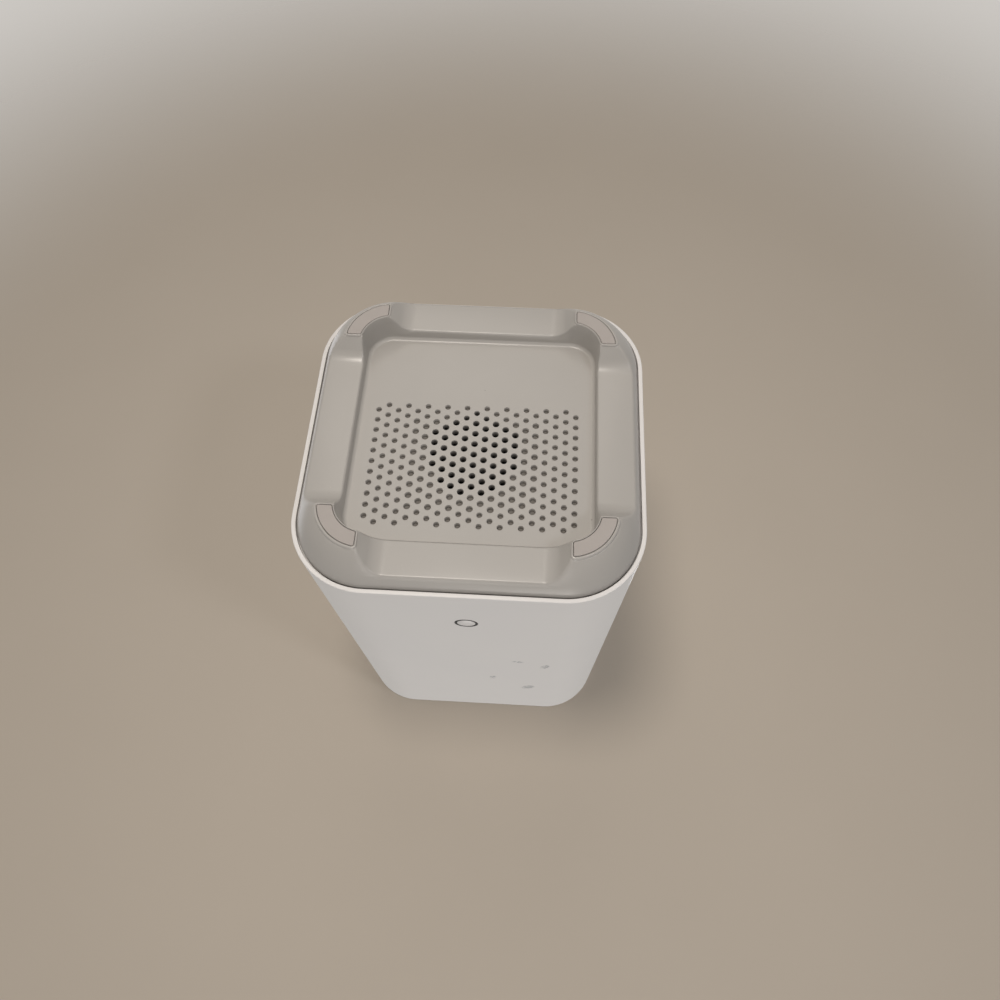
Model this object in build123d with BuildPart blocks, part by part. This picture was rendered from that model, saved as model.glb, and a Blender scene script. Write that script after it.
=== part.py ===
from build123d import *
from math import cos, hypot, radians, tan
import os

# Base station of a set of wireless security cameras.
# Millimetres. +Z is up, the four feet stand on Z = 0, the status ring faces -Y and the connectors +Y.
os.makedirs("parts", exist_ok=True)

# General
overrun = 5.0  # how far a cut runs past what it cuts
fastener_clearance = 0.05  # round a screw, where its thread bites
level = 0.01  # heights this close count as one
seat_clearance = 0.15  # round a piece that drops into a recess
sliding_clearance = 0.3  # round a button in its hole

# Housing: a white sleeve with a closed top, open at the base
rim_width = 114.0  # across the flats at the open end
overall_height = 175.0
rim_height = 11.6  # of the open end above the table
rim_corner_radius = 26.0
housing_draft = 1.0  # degrees on each side
top_edge_radius = 4.0
housing_wall = 2.4
lip_wall = 1.45  # the rim, thinned to take the base's flange

# Base: a domed block, cut by two crossing valleys and one pocket
seam_gap = 0.4  # the dark line between rim and base
dome_radius = 24.8
foot_edge_inset = 9.7  # from the rim's flat to the dome's lower edge
foot_face_height = 0.6  # of the plastic round each foot pad
valley_height = 6.9
ramp_margin = 0.7  # between a foot pad's end and the valley's mouth
ramp_run = 4.9  # of a valley's side, were it straight down to the floor
valley_foot_radius = 7.0
valley_shoulder_radius = 1.0
pocket_corner_radius = 9.3  # at its floor, round the same centres as the housing's corners
pocket_floor_height = 11.3
pocket_draft = 3.7  # degrees
pocket_foot_radius = 1.5
pocket_mouth_chamfer = 0.35
dome_edge_chamfer = 0.6
deck_thickness = 2.3
base_wall = 2.2
tongue_length = 50.0
tongue_height = 5.0
tongue_wall = 1.6
rib_wall = 1.2
rib_place = 12.0
core_inset = 3.55  # from the base's edge to the cored-out ring

# Foot pads: rubber ring sectors round the same centres as the corners
pad_inner_radius = 10.7
pad_outer_radius = 15.4
pad_inset = 2.0  # from the corner's centre lines to the pad's straight ends
pad_thickness = 1.8
pad_corner_radius = 0.6

# Grille: columns of holes, every other column half a pitch along
grille_side_margin = 6.4  # at least, from the outermost columns to the pocket's walls
grille_front_margin = 7.3  # at least, from the foremost row to the pocket's front wall
grille_pitch_x = 3.383
grille_pitch_y = 4.056
grille_rear_y = 11.708  # of the rearmost row
large_hole_diameter = 2.1
small_hole_diameter = 1.8
large_hole_columns = 6  # to each side of the middle column
large_hole_rows = 4  # to each side of the middle row
hole_sides = 6
blind_hole_depth = 1.8
speaker_centre_y = -5.5
open_hole_reach = 16.0  # holes this close to the speaker's centre go through

# Screws
screw_sides = 8
base_screw_radius = 1.2
base_screw_length = 22.0
base_screw_head_radius = 2.1
base_screw_head_height = 1.5
screw_hole_radius = 1.35
post_radius = 3.6
post_height = 16.4
post_rib_wall = 1.6

# Speaker, cone towards the grille
gasket_thickness = 2.0
gasket_sides = 8
speaker_width = 42.0
speaker_corner_radius = 4.0
speaker_flange_thickness = 1.2
speaker_mouth_radius = 16.0
gasket_mouth_radius = 16.8
basket_depth = 9.2
basket_wall = 1.0
basket_leg_width = 7.0
magnet_radius = 12.0
magnet_height = 6.5
magnet_gap_depth = 5.0
cone_radius = 13.6
cone_wall = 0.5
cone_depth = 5.2
coil_radius = 6.5
coil_wall = 0.6
coil_engagement = 2.0  # of the coil in the magnet's gap
coil_gap = 0.4
surround_height = 1.1
surround_wall = 0.4
surround_seat = 0.6  # width of its glued rims
speaker_screw_place = 17.6  # from the speaker's centre, along X and along Y
speaker_screw_radius = 1.0
speaker_screw_length = 3.6
speaker_screw_head_radius = 1.9
speaker_screw_head_height = 1.1
speaker_boss_radius = 2.2

# Main board
board_height = 34.0
board_thickness = 1.6
board_corner_radius = 16.0  # round the same centres as the housing's corners
board_post_reach = 7.0  # of a post past the corner's centre, towards the side
board_post_setback = 9.0  # from the corner's centre, away from the front or the rear
board_post_radius = 3.5
processor_width = 17.0
processor_thickness = 1.5
lid_width = 13.0
lid_thickness = 0.9
processor_centre_y = -8.0
thermal_pad_thickness = 0.5
memory_chip_size = (9.0, 13.0, 1.0)
memory_chip_gap = 3.0
storage_chip_size = (11.5, 13.0, 1.0)
storage_chip_x = 30.0
radio_shield_size = (20.0, 16.0, 3.0)
radio_shield_x = 26.0
radio_shield_y = -35.0
shield_wall = 0.4

# Heat sink
sink_length = 38.0
sink_width = 36.0
sink_base_thickness = 2.0
sink_height = 10.0
fin_count = 7
fin_thickness = 1.2

# Connectors in the rear wall
nose_recess = 0.6  # of a connector's face behind the wall's outer face
nose_gap = 0.3  # round a connector in its cut-out
power_jack_x = 24.0
power_jack_size = (9.0, 12.0, 11.0)
power_jack_corner_radius = 0.6
power_jack_axis = 6.3  # above the board
power_nose_radius = 4.0
power_bore_radius = 3.0
power_bore_depth = 9.5
power_pin_radius = 1.0
power_pin_length = 9.0
ethernet_x = 7.0
ethernet_size = (16.0, 19.0, 13.4)
ethernet_mouth = (11.8, 7.0)
ethernet_mouth_depth = 13.0
ethernet_sill = 3.4  # from the board up to the mouth
ethernet_latch = (6.2, 2.2)
contact_count = 8
contact_pitch = 1.02
contact_width = 0.4
contact_length = 8.0
contact_height = 0.9
usb_x = -11.0
usb_size = (13.1, 14.0, 5.7)
usb_wall = 0.35
usb_tongue_size = (11.1, 9.0, 1.9)
usb_tongue_rise = 0.9  # above the socket's middle
usb_block_depth = 3.0

# Button and reset switch in the rear wall
button_x = -25.5
button_axis = 4.0  # above the board
button_radius = 3.6
button_recess = 0.2
button_edge_chamfer = 0.4
button_flange_radius = 4.7
button_flange_thickness = 1.0
button_travel = 0.4
switch_width = 6.0
switch_depth = 4.0
switch_height = 6.4
plunger_radius = 1.7
plunger_reach = 1.0  # of the plunger out of its switch
plunger_depth = 1.7  # of the plunger into its switch
plunger_clearance = 0.2
reset_x = -20.0
reset_pinhole_radius = 0.8
reset_axis = 2.2  # above the board
reset_switch_width = 3.6
reset_switch_depth = 3.4
reset_switch_height = 4.0
reset_plunger_radius = 0.9
reset_plunger_reach = 0.7
reset_travel = 0.3

# Status ring in the front wall
ring_height = 38.0
ring_outer_radius = 4.0
ring_inner_radius = 3.4
ring_flange_radius = 5.4
ring_flange_thickness = 1.0
ring_recess = 0.1
light_board_width = 16.0
light_board_height = 14.0
light_board_thickness = 1.0
light_board_corner_radius = 1.0
light_gap = 0.3
light_size = (1.6, 0.8, 1.6)
light_count = 4

# Antenna tower on top of the main board
tower_plate_height = 54.0
tower_plate_thickness = 2.0
tower_plate_margin = 6.0
tower_clearance = 15.0  # under the housing's top face
tower_wall = 2.0
tower_end_margin = 1.0  # of the wide wall past the board posts' centres
tower_side_margin = 3.0  # of the narrow wall past them
tower_window_margin = 6.0
tower_window_rows = 2
frame_screw_radius = 1.2
frame_screw_length = 32.0
frame_screw_head_radius = 2.4
frame_screw_head_height = 1.6
wifi_antenna_size = (1.0, 12.0, 42.0)
wifi_antenna_drop = 6.0  # below the tower's top
antenna_slots = 3
antenna_slot_width = 1.2
antenna_slot_share = 0.7  # of the plate's width
long_antenna_width = 14.0
long_antenna_thickness = 1.0
long_antenna_drop = 4.0  # below the tower's top
long_antenna_rise = 24.0  # above the tower's plate

# Worked out from the sizes above
rim_half = rim_width / 2
corner_centre = rim_half - rim_corner_radius
deck_top = pocket_floor_height + deck_thickness
lip_depth = deck_top - rim_height
base_half = rim_half - lip_wall - seam_gap
dome_lower_half = rim_half - foot_edge_inset
pad_cut = corner_centre + pad_inset
valley_mouth_half = pad_cut - ramp_margin
valley_half = valley_mouth_half - ramp_run
valley_slope = ramp_run / (valley_height - foot_face_height)
valley_reach = valley_mouth_half + (foot_face_height + overrun) * valley_slope
pocket_half = corner_centre + pocket_corner_radius
foot_recess_height = pad_thickness
screw_seat_height = foot_recess_height + base_screw_head_height + 2 * fastener_clearance
screw_place = corner_centre + (pad_inner_radius + pad_outer_radius) / 2 * cos(radians(45))
corner_signs = [(1, 1), (-1, 1), (-1, -1), (1, -1)]
screw_places = [(sx * screw_place, sy * screw_place) for sx, sy in corner_signs]
core_height = valley_height + base_wall
core_outer_half = base_half - core_inset
core_inner_half = pocket_half + base_wall
grille_columns = 2 * int((pocket_half - grille_side_margin) / grille_pitch_x) + 1
grille_rows = int((grille_rear_y + pocket_half - grille_front_margin) / grille_pitch_y) + 1
grille_centre_y = grille_rear_y - (grille_rows - 1) / 2 * grille_pitch_y
speaker_front = deck_top + gasket_thickness
speaker_screw_places = [
    (sx * speaker_screw_place, speaker_centre_y + sy * speaker_screw_place) for sx, sy in corner_signs
]
coil_base = speaker_front + cone_depth
flange_top = speaker_front + speaker_flange_thickness
magnet_base = flange_top + basket_depth
gap_outer_radius = coil_radius + coil_wall + coil_gap
sink_bottom = board_height + board_thickness + processor_thickness + thermal_pad_thickness
board_top = board_height + board_thickness
board_width = 2 * (corner_centre + board_corner_radius)
board_post_x = corner_centre + board_post_reach
board_post_y = corner_centre - board_post_setback
tower_top = overall_height - tower_clearance
tower_length = 2 * (board_post_x + tower_end_margin)
tower_width = 2 * (board_post_y + tower_side_margin)
wifi_antenna_height = tower_top - wifi_antenna_drop - wifi_antenna_size[2]
long_antenna_height = tower_plate_height + tower_plate_thickness + long_antenna_rise
long_antenna_length = tower_top - long_antenna_drop - long_antenna_height
draft_slope = tan(radians(housing_draft))


def wall_outside(height):
    """Distance of the housing's outer face from its middle plane, at a height."""
    return rim_half - (height - rim_height) * draft_slope


def wall_inside(height):
    return wall_outside(height) - housing_wall


def facing_rear(y):
    """Plane square to Y, seen from behind: sketch X runs towards -X and sketch Y up."""
    return Plane(origin=(0, y, 0), x_dir=(-1, 0, 0), z_dir=(0, 1, 0))


def facing_front(y):
    """Plane square to Y in front of the middle, seen from the front: sketch X runs along X, sketch Y up."""
    return Plane(origin=(0, -y, 0), x_dir=(1, 0, 0), z_dir=(0, -1, 0))


def finish(piece, name):
    piece.part.label = name
    export_step(piece.part, f"parts/{name}.step")


# Places of the connectors, heights above the table
power_jack_height = board_top + power_jack_axis
ethernet_height = board_top + ethernet_size[2] / 2
usb_height = board_top + usb_size[2] / 2
button_height = board_top + button_axis
reset_height = board_top + reset_axis
nose_y = wall_outside(power_jack_height) - nose_recess
connector_front_y = wall_inside(board_top + ethernet_size[2]) - nose_gap
button_seat_y = wall_inside(button_height + button_flange_radius) - sliding_clearance
board_rear_y = button_seat_y - button_flange_thickness - plunger_reach
ring_face_y = wall_outside(ring_height) - ring_recess
ring_seat_y = wall_inside(ring_height + ring_flange_radius)
light_face_y = ring_seat_y - ring_flange_thickness - light_gap
light_board_face_y = light_face_y - light_size[1]
board_front_y = light_board_face_y - light_board_thickness


# Planes and axes that several pieces share
standing = (Align.CENTER, Align.CENTER, Align.MIN)
on_board = Plane.XY.offset(board_top)
speaker_plane = Plane(origin=(0, speaker_centre_y, 0), x_dir=(1, 0, 0), z_dir=(0, -1, 0))
speaker_side_plane = Plane(origin=(0, speaker_centre_y, 0), x_dir=(0, 1, 0), z_dir=(1, 0, 0))
speaker_axis = Axis((0, speaker_centre_y, 0), (0, 0, 1))


def rim_section(plane, centre):
    """Section of the base's edge, from its middle outwards, with X counted from the given centre."""
    lower = (dome_lower_half - centre, foot_face_height)
    upper = (base_half - centre, rim_height)
    run, rise = upper[0] - lower[0], upper[1] - lower[1]
    chord = hypot(run, rise)
    bulge = dome_radius - (dome_radius**2 - (chord / 2) ** 2) ** 0.5
    middle_x = (lower[0] + upper[0]) / 2 + bulge * rise / chord
    middle_z = (lower[1] + upper[1]) / 2 - bulge * run / chord
    with BuildSketch(plane) as section:
        with BuildLine():
            Polyline(upper, (upper[0], deck_top), (0, deck_top), (0, foot_face_height), lower)
            ThreePointArc(lower, (middle_x, middle_z), upper)
        make_face()
    return section.sketch


def corner_sector(sx, sy, inner, outer, cut):
    """Ring sector round one corner's centre, cut square at a distance from the middle planes."""
    with Locations((sx * corner_centre, sy * corner_centre)):
        Circle(outer)
        Circle(inner, mode=Mode.SUBTRACT)
    towards_x = Align.MIN if sx > 0 else Align.MAX
    towards_y = Align.MIN if sy > 0 else Align.MAX
    with Locations((sx * cut, sy * cut)):
        Rectangle(outer, outer, align=(towards_x, towards_y), mode=Mode.INTERSECT)


def is_dome(face):
    """True for a face of the base's rounded edge: turned in the corners, straight along the sides."""
    turned = face.geom_type in (GeomType.REVOLUTION, GeomType.TORUS)
    straight = face.geom_type == GeomType.CYLINDER and abs(face.radius - dome_radius) < level
    return turned or straight


def is_pocket_mouth(edge):
    """True for an edge where the pocket's wall meets the valleys and the feet."""
    middle, box = edge.position_at(0.5), edge.bounding_box()
    reach = pocket_half - level
    across = max(abs(middle.X), abs(middle.Y))
    turn = hypot(abs(middle.X) - corner_centre, abs(middle.Y) - corner_centre)
    on_side = reach < across < reach + base_wall and min(abs(middle.X), abs(middle.Y)) < corner_centre
    in_corner = reach - corner_centre < turn < reach - corner_centre + base_wall
    return (on_side or in_corner) and box.max.Z < valley_height + level


def grille_holes(large, is_open):
    """Places of the grille's holes of one size that go right through, or of those that don't."""
    places = []
    for column in range(grille_columns):
        across = column - grille_columns // 2
        rows = grille_rows - 1 if across % 2 == 0 else grille_rows  # every other column is one shorter
        for row in range(rows):
            along = row - (rows - 1) / 2
            x, y = across * grille_pitch_x, grille_centre_y + along * grille_pitch_y
            in_middle = abs(across) <= large_hole_columns and abs(along) <= large_hole_rows
            over_speaker = hypot(x, y - speaker_centre_y) < open_hole_reach
            if in_middle == large and over_speaker == is_open:
                places.append((x, y))
    return places


# Housing
with BuildPart() as outer_housing:
    with BuildSketch(Plane.XY.offset(rim_height)):
        RectangleRounded(rim_width, rim_width, rim_corner_radius)
    extrude(amount=overall_height - rim_height, taper=housing_draft)
    fillet(outer_housing.edges().group_by(Axis.Z)[-1], radius=top_edge_radius)
    cavity_width = rim_width - 2 * housing_wall
    with BuildSketch(Plane.XY.offset(rim_height)):
        RectangleRounded(cavity_width, cavity_width, rim_corner_radius - housing_wall)
    extrude(amount=overall_height - rim_height - housing_wall, taper=housing_draft, mode=Mode.SUBTRACT)
    mouth_width = rim_width - 2 * lip_wall
    with BuildSketch(Plane.XY.offset(rim_height)):
        RectangleRounded(mouth_width, mouth_width, rim_corner_radius - lip_wall)
    extrude(amount=lip_depth, mode=Mode.SUBTRACT)
    # a screw post in each corner, tied to the wall by a rib
    rib_length = corner_centre + (rim_corner_radius - housing_wall / 2) * cos(radians(45)) - screw_place
    rib_length = rib_length / cos(radians(45))
    rib_middle = screw_place + rib_length / 2 * cos(radians(45))
    with BuildSketch(Plane.XY.offset(deck_top)):
        for sx, sy in corner_signs:
            with Locations((sx * screw_place, sy * screw_place)):
                Circle(post_radius)
            with Locations((sx * rib_middle, sy * rib_middle)):
                Rectangle(rib_length, post_rib_wall, rotation=45 * sx * sy)
    extrude(amount=post_height)
    with BuildSketch(Plane.XY.offset(deck_top)):
        with Locations(screw_places):
            Circle(base_screw_radius + fastener_clearance)
    extrude(amount=post_height - housing_wall, mode=Mode.SUBTRACT)
    # cut-outs in the rear wall
    with BuildSketch(facing_rear(rim_half)):
        with Locations((-power_jack_x, power_jack_height)):
            Circle(power_nose_radius + nose_gap)
        with Locations((-ethernet_x, ethernet_height)):
            Rectangle(ethernet_size[0] + 2 * nose_gap, ethernet_size[2] + 2 * nose_gap)
        with Locations((-usb_x, usb_height)):
            Rectangle(usb_size[0] + 2 * nose_gap, usb_size[2] + 2 * nose_gap)
        with Locations((-button_x, button_height)):
            Circle(button_radius + sliding_clearance)
        with Locations((-reset_x, reset_height)):
            Circle(reset_pinhole_radius)
    extrude(amount=-(housing_wall + overrun), mode=Mode.SUBTRACT)
    # the hole for the status ring in the front wall
    with BuildSketch(facing_front(rim_half)):
        with Locations((0, ring_height)):
            Circle(ring_outer_radius + fastener_clearance)
    extrude(amount=-(housing_wall + overrun), mode=Mode.SUBTRACT)
finish(outer_housing, "outer_housing")

# Base
with BuildPart() as base:
    # a quarter of the domed block: the corner is turned about its centre, the sides run straight
    corner_plane = Plane(origin=(corner_centre, corner_centre, 0), x_dir=(1, 0, 0), z_dir=(0, -1, 0))
    corner_axis = Axis((corner_centre, corner_centre, 0), (0, 0, 1))
    revolve(rim_section(corner_plane, corner_centre), axis=corner_axis, revolution_arc=90)
    extrude(rim_section(Plane.XZ, 0), amount=-corner_centre)
    extrude(rim_section(Plane.YZ, 0), amount=corner_centre)
    mirror(about=Plane.YZ)
    mirror(about=Plane.XZ)
    # two valleys across the underside leave a raised foot in each corner
    for plane in (Plane.XZ, Plane.YZ):
        with BuildSketch(plane) as valley:
            with BuildLine():
                Polyline(
                    (-valley_reach, -overrun),
                    (-valley_half, valley_height),
                    (valley_half, valley_height),
                    (valley_reach, -overrun),
                    close=True,
                )
            make_face()
            fillet(valley.vertices().group_by(Axis.Y)[-1], radius=valley_foot_radius)
        extrude(amount=rim_half, both=True, mode=Mode.SUBTRACT)
    shoulders = base.edges().filter_by(GeomType.LINE).group_by(Axis.Z)[0]
    fillet(shoulders, radius=valley_shoulder_radius)
    dome_faces = base.faces().filter_by(is_dome)
    lower_edges = dome_faces.edges().filter_by(lambda e: e.bounding_box().max.Z < rim_height - level)
    outline_edges = lower_edges.filter_by(lambda e: sum(e in f.edges() for f in dome_faces) == 1)
    chamfer(outline_edges, length=dome_edge_chamfer)
    # one drafted pocket in the middle
    pocket_plane = Plane(origin=(0, 0, pocket_floor_height), x_dir=(1, 0, 0), z_dir=(0, 0, -1))
    with BuildSketch(pocket_plane):
        RectangleRounded(2 * pocket_half, 2 * pocket_half, pocket_corner_radius)
    extrude(amount=pocket_floor_height + overrun, taper=-pocket_draft, mode=Mode.SUBTRACT)
    cut_edges = base.edges(Select.LAST)
    foot_level = pocket_floor_height - level
    fillet(cut_edges.filter_by(lambda e: e.bounding_box().min.Z > foot_level), radius=pocket_foot_radius)
    chamfer(base.edges().filter_by(is_pocket_mouth), length=pocket_mouth_chamfer)
    # a recess for each pad
    for sx, sy in corner_signs:
        with BuildSketch(Plane.XY):
            corner_sector(sx, sy, pad_inner_radius - seat_clearance, pad_outer_radius + seat_clearance,
                          pad_cut - seat_clearance)
        extrude(amount=foot_recess_height, mode=Mode.SUBTRACT)
    # the edge and the feet are cored out from above, apart from ribs and screw bosses
    with BuildSketch(Plane.XY.offset(deck_top)):
        RectangleRounded(2 * core_outer_half, 2 * core_outer_half, core_outer_half - corner_centre)
        RectangleRounded(
            2 * core_inner_half, 2 * core_inner_half, core_inner_half - corner_centre, mode=Mode.SUBTRACT
        )
        for side in (-rib_place, rib_place):
            with Locations((side, 0)):
                Rectangle(rib_wall, rim_width, mode=Mode.SUBTRACT)
            with Locations((0, side)):
                Rectangle(rim_width, rib_wall, mode=Mode.SUBTRACT)
        with Locations(screw_places):
            Circle(post_radius, mode=Mode.SUBTRACT)
    extrude(amount=core_height - deck_top, mode=Mode.SUBTRACT)
    for (sx, sy), place in zip(corner_signs, screw_places):
        with BuildSketch(Plane.XY.offset(core_height)):
            corner_sector(sx, sy, core_inner_half - corner_centre, dome_lower_half - corner_centre, pad_cut)
            with Locations(place):
                Circle(post_radius, mode=Mode.SUBTRACT)
        extrude(amount=foot_recess_height + base_wall - core_height, mode=Mode.SUBTRACT)
    for x, y in screw_places:
        with Locations(Location((x, y, 0), (180, 0, 0))):
            CounterBoreHole(
                screw_hole_radius, base_screw_head_radius + seat_clearance, screw_seat_height, deck_top + overrun
            )
    # tongues that line up the housing, then board posts and speaker bosses
    tongue_half = wall_inside(deck_top + tongue_height) - sliding_clearance
    with BuildSketch(Plane.XY.offset(deck_top)):
        with PolarLocations(tongue_half - tongue_wall / 2, 4):
            Rectangle(tongue_wall, tongue_length)
    extrude(amount=tongue_height)
    with BuildSketch(Plane.XY.offset(deck_top)):
        with GridLocations(2 * board_post_x, 2 * board_post_y, 2, 2):
            Circle(board_post_radius)
            Circle(frame_screw_radius + fastener_clearance, mode=Mode.SUBTRACT)
    extrude(amount=board_height - deck_top)
    with BuildSketch(Plane.XY.offset(deck_top)):
        with Locations(speaker_screw_places):
            Circle(speaker_boss_radius)
    extrude(amount=gasket_thickness)
    with BuildSketch(Plane.XY.offset(speaker_front)):
        with Locations(speaker_screw_places):
            Circle(speaker_screw_radius + fastener_clearance)
    extrude(
        amount=speaker_flange_thickness - speaker_screw_length - fastener_clearance, mode=Mode.SUBTRACT
    )
    # the grille: every hole starts in the pocket's floor, those over the speaker go right through
    for large, diameter in ((True, large_hole_diameter), (False, small_hole_diameter)):
        for is_open, depth in ((False, blind_hole_depth), (True, deck_thickness)):
            places = grille_holes(large, is_open)
            if places:
                with BuildSketch(Plane.XY.offset(pocket_floor_height)):
                    with Locations(places):
                        RegularPolygon(diameter / 2, hole_sides)
                extrude(amount=depth, mode=Mode.SUBTRACT)
finish(base, "base")

# Foot pads
for name, (sx, sy) in zip(("rear_right", "rear_left", "front_left", "front_right"), corner_signs):
    with BuildPart() as foot_pad:
        with BuildSketch(Plane.XY) as pad_outline:
            corner_sector(sx, sy, pad_inner_radius, pad_outer_radius, pad_cut)
            fillet(pad_outline.vertices(), radius=pad_corner_radius)
        extrude(amount=pad_thickness)
    finish(foot_pad, f"foot_pad_{name}")

# Base screws, up through the base into the housing's posts
with BuildPart() as base_screws:
    with BuildSketch(Plane.XY.offset(screw_seat_height)):
        with Locations(screw_places):
            RegularPolygon(base_screw_radius, screw_sides)
    extrude(amount=base_screw_length)
    with BuildSketch(Plane.XY.offset(screw_seat_height)):
        with Locations(screw_places):
            RegularPolygon(base_screw_head_radius, screw_sides)
    extrude(amount=-base_screw_head_height)
finish(base_screws, "base_screws")

# Speaker gasket: die-cut foam between the deck and the speaker's frame
with BuildPart() as speaker_gasket:
    with BuildSketch(Plane.XY.offset(deck_top)):
        with Locations(Location((0, speaker_centre_y, 0), (0, 0, 180 / gasket_sides))):
            RegularPolygon(speaker_width / 2 - seat_clearance, gasket_sides, major_radius=False)
            RegularPolygon(gasket_mouth_radius, gasket_sides, major_radius=False, mode=Mode.SUBTRACT)
    extrude(amount=gasket_thickness)
finish(speaker_gasket, "speaker_gasket")

# Speaker basket: a square flange, four legs and a ring that carries the magnet
with BuildPart() as speaker_basket:
    with BuildSketch(Plane.XY.offset(speaker_front)):
        with Locations((0, speaker_centre_y)):
            RectangleRounded(speaker_width, speaker_width, speaker_corner_radius)
            Circle(speaker_mouth_radius, mode=Mode.SUBTRACT)
        with Locations(speaker_screw_places):
            Circle(speaker_screw_radius + seat_clearance, mode=Mode.SUBTRACT)
    extrude(amount=speaker_flange_thickness)
    with BuildSketch(Plane.XY.offset(magnet_base)):
        with Locations((0, speaker_centre_y)):
            Circle(magnet_radius)
            Circle(gap_outer_radius, mode=Mode.SUBTRACT)
    extrude(amount=-basket_wall)
    for plane in (speaker_plane, speaker_side_plane):
        with BuildSketch(plane):
            with BuildLine():
                Polyline(
                    (speaker_mouth_radius, flange_top - basket_wall),
                    (speaker_mouth_radius + 2 * basket_wall, flange_top - basket_wall),
                    (speaker_mouth_radius + 2 * basket_wall, flange_top),
                    (magnet_radius, magnet_base),
                    (magnet_radius - 2 * basket_wall, magnet_base),
                    (magnet_radius - 2 * basket_wall, magnet_base - basket_wall),
                    (speaker_mouth_radius, flange_top),
                    close=True,
                )
            make_face()
            mirror(about=Plane.YZ)
        extrude(amount=basket_leg_width / 2, both=True)
finish(speaker_basket, "speaker_basket")

# Speaker magnet, with the ring-shaped gap for the coil
with BuildPart() as speaker_magnet:
    with BuildSketch(Plane.XY.offset(magnet_base)):
        with Locations((0, speaker_centre_y)):
            Circle(magnet_radius)
    extrude(amount=magnet_height)
    with BuildSketch(Plane.XY.offset(magnet_base)):
        with Locations((0, speaker_centre_y)):
            Circle(gap_outer_radius)
            Circle(coil_radius - coil_gap, mode=Mode.SUBTRACT)
    extrude(amount=magnet_gap_depth, mode=Mode.SUBTRACT)
finish(speaker_magnet, "speaker_magnet")

# Speaker cone: a lip on the surround, a shallow cone and a flat cap over the coil
with BuildPart() as speaker_cone:
    with BuildSketch(speaker_plane):
        with BuildLine():
            Polyline(
                (cone_radius - surround_seat, speaker_front),
                (cone_radius, speaker_front),
                (cone_radius, speaker_front + cone_wall),
                (coil_radius + coil_wall, coil_base),
                (0, coil_base),
                (0, coil_base - cone_wall),
                (coil_radius + coil_wall - cone_wall, coil_base - cone_wall),
                close=True,
            )
        make_face()
    revolve(axis=speaker_axis)
finish(speaker_cone, "speaker_cone")

# Surround: a rubber roll glued under the cone's lip and under the basket's flange
with BuildPart() as speaker_surround:
    rim_inner, rim_outer = cone_radius - surround_seat, speaker_mouth_radius + surround_seat
    roll_middle = (cone_radius + speaker_mouth_radius) / 2
    roll_front = speaker_front - surround_height
    with BuildSketch(speaker_plane):
        with BuildLine():
            Polyline(
                (rim_inner, speaker_front),
                (cone_radius, speaker_front),
                (roll_middle, roll_front + surround_wall),
                (speaker_mouth_radius, speaker_front),
                (rim_outer, speaker_front),
                (rim_outer, speaker_front - surround_wall),
                (roll_middle, roll_front),
                (rim_inner, speaker_front - surround_wall),
                close=True,
            )
        make_face()
    revolve(axis=speaker_axis)
finish(speaker_surround, "speaker_surround")

# Voice coil: a short tube on the cone's back, reaching into the magnet's gap
with BuildPart() as voice_coil:
    with BuildSketch(Plane.XY.offset(coil_base)):
        with Locations((0, speaker_centre_y)):
            Circle(coil_radius + coil_wall)
            Circle(coil_radius, mode=Mode.SUBTRACT)
    extrude(amount=magnet_base + coil_engagement - coil_base)
finish(voice_coil, "voice_coil")

# Speaker screws
with BuildPart() as speaker_screws:
    with BuildSketch(Plane.XY.offset(flange_top)):
        with Locations(speaker_screw_places):
            RegularPolygon(speaker_screw_radius, screw_sides)
    extrude(amount=-speaker_screw_length)
    with BuildSketch(Plane.XY.offset(flange_top)):
        with Locations(speaker_screw_places):
            RegularPolygon(speaker_screw_head_radius, screw_sides)
    extrude(amount=speaker_screw_head_height)
finish(speaker_screws, "speaker_screws")

# Main board
with BuildPart() as main_board:
    with BuildSketch(Plane.XY.offset(board_height)):
        with Locations((0, (board_rear_y - board_front_y) / 2)):
            RectangleRounded(board_width, board_rear_y + board_front_y, board_corner_radius)
        with GridLocations(2 * board_post_x, 2 * board_post_y, 2, 2):
            Circle(frame_screw_radius + seat_clearance, mode=Mode.SUBTRACT)
    extrude(amount=board_thickness)
finish(main_board, "main_board")

# Processor: a substrate with a lid, cooled through a soft pad by a finned sink
with BuildPart() as processor:
    with Locations((0, processor_centre_y, board_top)):
        Box(processor_width, processor_width, processor_thickness - lid_thickness, align=standing)
    with Locations((0, processor_centre_y, board_top + processor_thickness - lid_thickness)):
        Box(lid_width, lid_width, lid_thickness, align=standing)
finish(processor, "processor")

with BuildPart() as thermal_pad:
    with Locations((0, processor_centre_y, board_top + processor_thickness)):
        Box(lid_width, lid_width, thermal_pad_thickness, align=standing)
finish(thermal_pad, "thermal_pad")

with BuildPart() as heat_sink:
    sink_plane = Plane(origin=(0, processor_centre_y, sink_bottom), x_dir=(1, 0, 0), z_dir=(0, -1, 0))
    with BuildSketch(sink_plane):
        Rectangle(sink_length, sink_base_thickness, align=(Align.CENTER, Align.MIN))
        with GridLocations((sink_length - fin_thickness) / (fin_count - 1), 0, fin_count, 1):
            Rectangle(fin_thickness, sink_height, align=(Align.CENTER, Align.MIN))
    extrude(amount=sink_width / 2, both=True)
finish(heat_sink, "heat_sink")

# Memory and storage beside the processor, and two shielding cans at the front
with BuildPart() as memory_chips:
    memory_x = processor_width / 2 + memory_chip_gap + memory_chip_size[0] / 2
    with Locations((-memory_x, processor_centre_y, board_top), (memory_x, processor_centre_y, board_top)):
        Box(*memory_chip_size, align=standing)
finish(memory_chips, "memory_chips")

with BuildPart() as storage_chip:
    with Locations((storage_chip_x, processor_centre_y, board_top)):
        Box(*storage_chip_size, align=standing)
finish(storage_chip, "storage_chip")

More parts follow.
